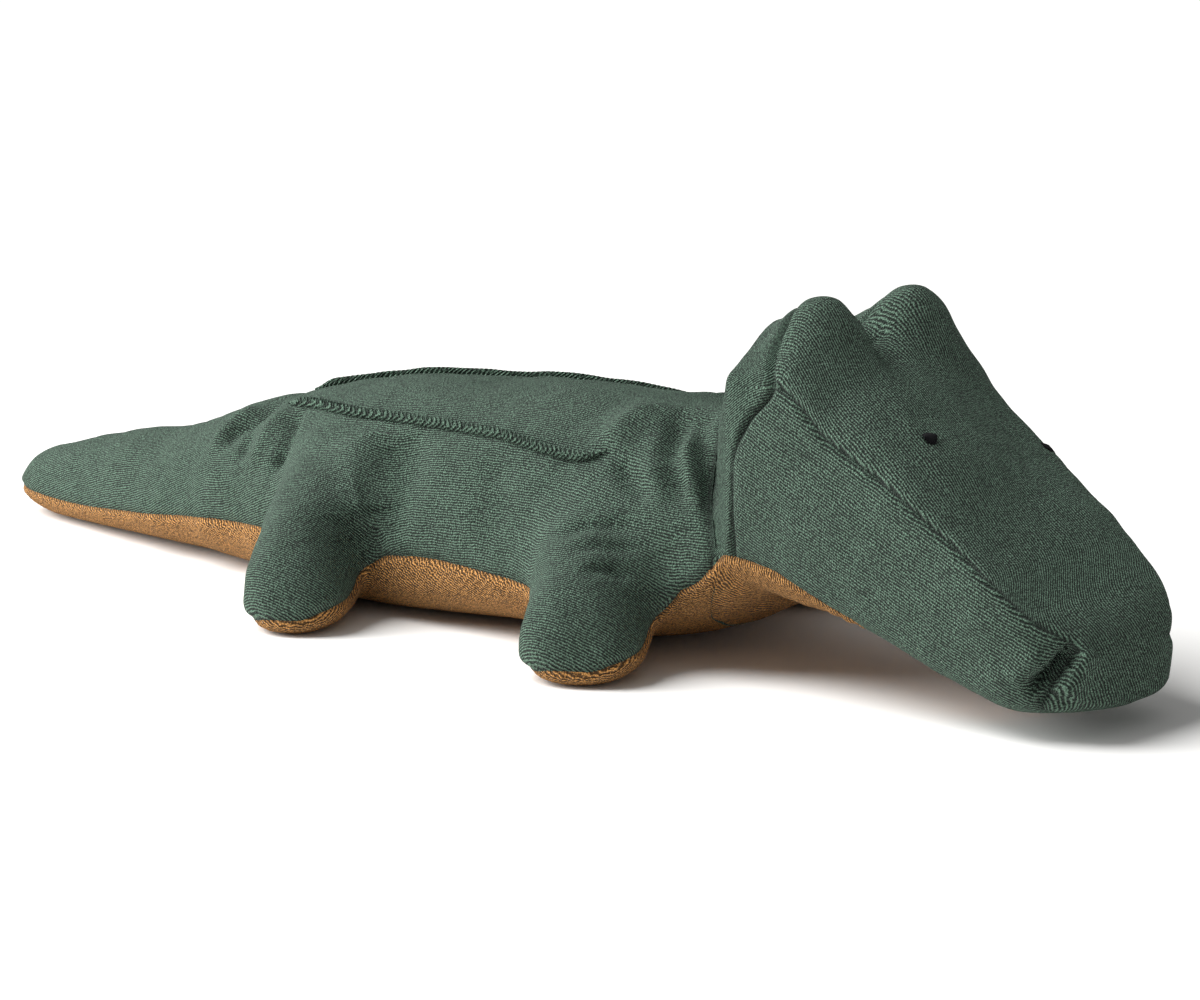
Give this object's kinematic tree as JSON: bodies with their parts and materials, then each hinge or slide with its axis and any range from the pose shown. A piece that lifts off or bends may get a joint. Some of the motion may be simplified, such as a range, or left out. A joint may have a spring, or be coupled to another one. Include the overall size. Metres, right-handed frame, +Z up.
{
  "type": "plush crocodile",
  "caption": "Stuffed crocodile lying on its belly, with a long wedge head turned slightly to its right, sewn back tucks, soft legs and a tapering tail, all able to swing.",
  "frame": {"origin": "middle of the overall box on the floor that the toy lies on", "axes": "+X towards the snout along the spine, +Y to the animal's left, +Z up"},
  "size_m": [0.6726, 0.2542, 0.1576],
  "materials": {
    "green_terry": "looped knit terry, matte",
    "tan_terry": "looped knit terry, matte",
    "filling": "loose polyester fibre",
    "embroidery": "satin stitched thread"
  },
  "bodies": {
    "trunk": {"back_skin": "green_terry", "belly_skin": "tan_terry", "trunk_filling": "filling", "right_back_tuck": "green_terry", "left_back_tuck": "green_terry"},
    "tail": {"tail_top_skin": "green_terry", "tail_under_skin": "tan_terry", "tail_filling": "filling"},
    "head": {"head_back_gusset": "green_terry", "crown_panel": "green_terry", "right_cheek_panel": "green_terry", "left_cheek_panel": "green_terry", "chin_panel": "tan_terry", "head_filling": "filling", "right_eye": "embroidery", "left_eye": "embroidery", "right_nostril_tack": "embroidery", "left_nostril_tack": "embroidery"},
    "right_front_leg": {"right_front_leg_top_skin": "green_terry", "right_front_leg_sole_skin": "tan_terry", "right_front_leg_filling": "filling"},
    "left_front_leg": {"left_front_leg_top_skin": "green_terry", "left_front_leg_sole_skin": "tan_terry", "left_front_leg_filling": "filling"},
    "right_rear_leg": {"right_rear_leg_top_skin": "green_terry", "right_rear_leg_sole_skin": "tan_terry", "right_rear_leg_filling": "filling"},
    "left_rear_leg": {"left_rear_leg_top_skin": "green_terry", "left_rear_leg_sole_skin": "tan_terry", "left_rear_leg_filling": "filling"}
  },
  "joints": [
    {"name": "head_turn", "type": "hinge", "parent": "trunk", "child": "head", "pos_m": [0.19894, -0.01353, 0], "axis": [0, 0, 1], "range_deg": [-18, 32], "stiffness_Nm_per_rad": 1.5},
    {"name": "tail_swing", "type": "hinge", "parent": "trunk", "child": "tail", "pos_m": [-0.18484, 0, 0], "axis": [0, 0, 1], "range_deg": [-25, 25], "stiffness_Nm_per_rad": 0.6},
    {"name": "right_front_leg_swing", "type": "hinge", "parent": "trunk", "child": "right_front_leg", "pos_m": [0.09116, -0.062, 0], "axis": [0, 0, 1], "range_deg": [-12, 12], "stiffness_Nm_per_rad": 0.4},
    {"name": "left_front_leg_swing", "type": "hinge", "parent": "trunk", "child": "left_front_leg", "pos_m": [0.09116, 0.062, 0], "axis": [0, 0, 1], "range_deg": [-12, 12], "stiffness_Nm_per_rad": 0.4},
    {"name": "right_rear_leg_swing", "type": "hinge", "parent": "trunk", "child": "right_rear_leg", "pos_m": [-0.06884, -0.062, 0], "axis": [0, 0, 1], "range_deg": [-12, 12], "stiffness_Nm_per_rad": 0.4},
    {"name": "left_rear_leg_swing", "type": "hinge", "parent": "trunk", "child": "left_rear_leg", "pos_m": [-0.06884, 0.062, 0], "axis": [0, 0, 1], "range_deg": [-12, 12], "stiffness_Nm_per_rad": 0.4}
  ]
}
